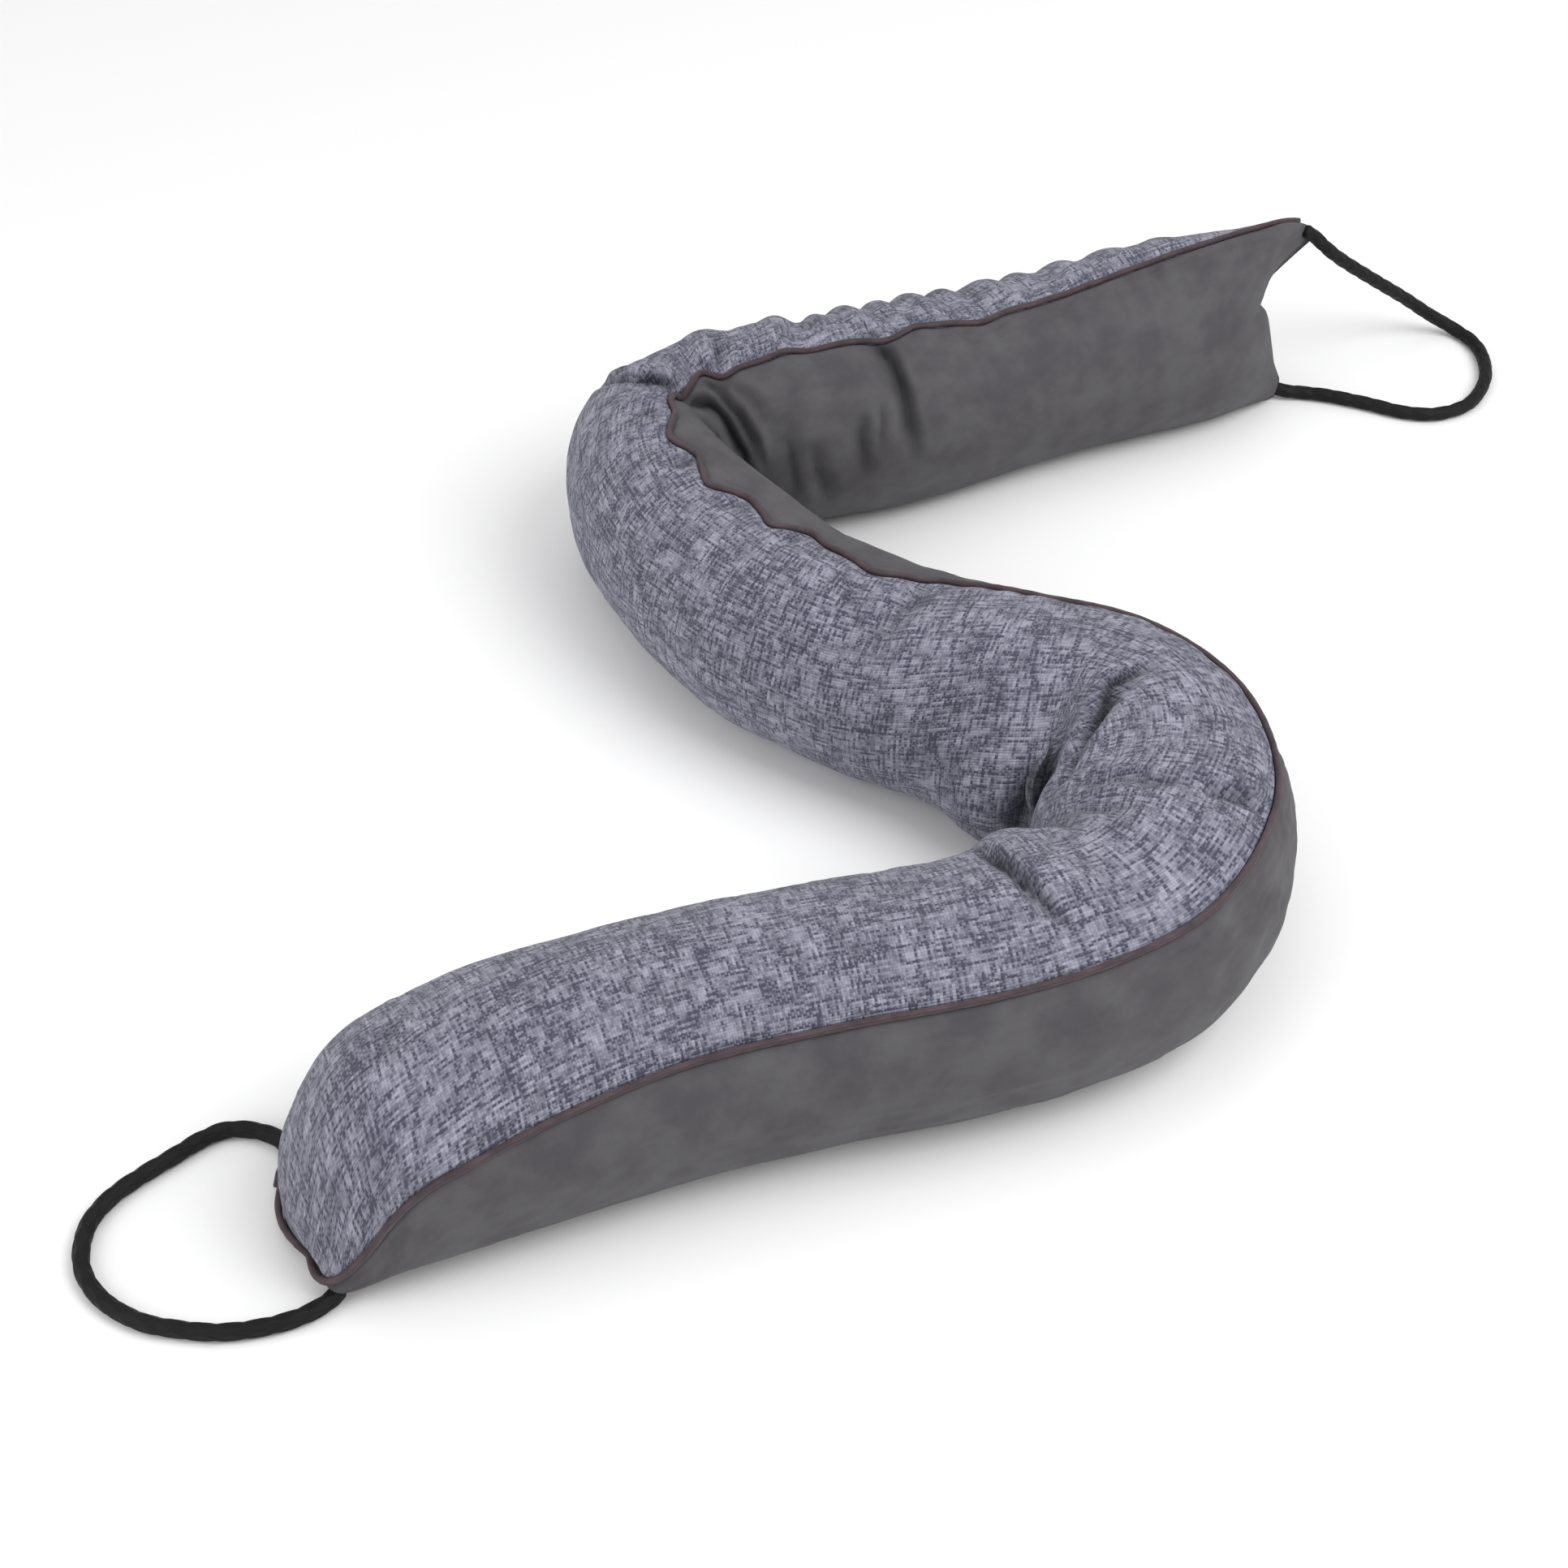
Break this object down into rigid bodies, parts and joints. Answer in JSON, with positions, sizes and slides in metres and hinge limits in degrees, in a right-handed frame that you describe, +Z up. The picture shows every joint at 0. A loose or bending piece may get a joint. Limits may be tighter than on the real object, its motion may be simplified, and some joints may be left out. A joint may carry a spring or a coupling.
{
  "type": "draught excluder",
  "caption": "Stuffed cloth draught excluder lying in a zigzag, one patterned and one plain panel joined by piping, with an elastic hanging loop at each end.",
  "frame": {"origin": "centre of the sewn body's footprint, on the surface that it lies on", "axes": "+Z up; +Y from the near end's side of the zigzag to the far end's; +X to the right as seen from the near side"},
  "size_m": [0.5551, 0.5803, 0.0843],
  "materials": {
    "patterned_cloth": "linen-look weave of light and dark blue-grey yarn",
    "plain_cloth": "smooth plain charcoal cloth",
    "piping": "dark maroon corded trim",
    "elastic": "black round braided elastic"
  },
  "bodies": {
    "root": {"patterned_panel": "patterned_cloth", "plain_panel": "plain_cloth", "seam_piping": "piping", "left_loop": "elastic", "right_loop": "elastic"}
  },
  "joints": []
}
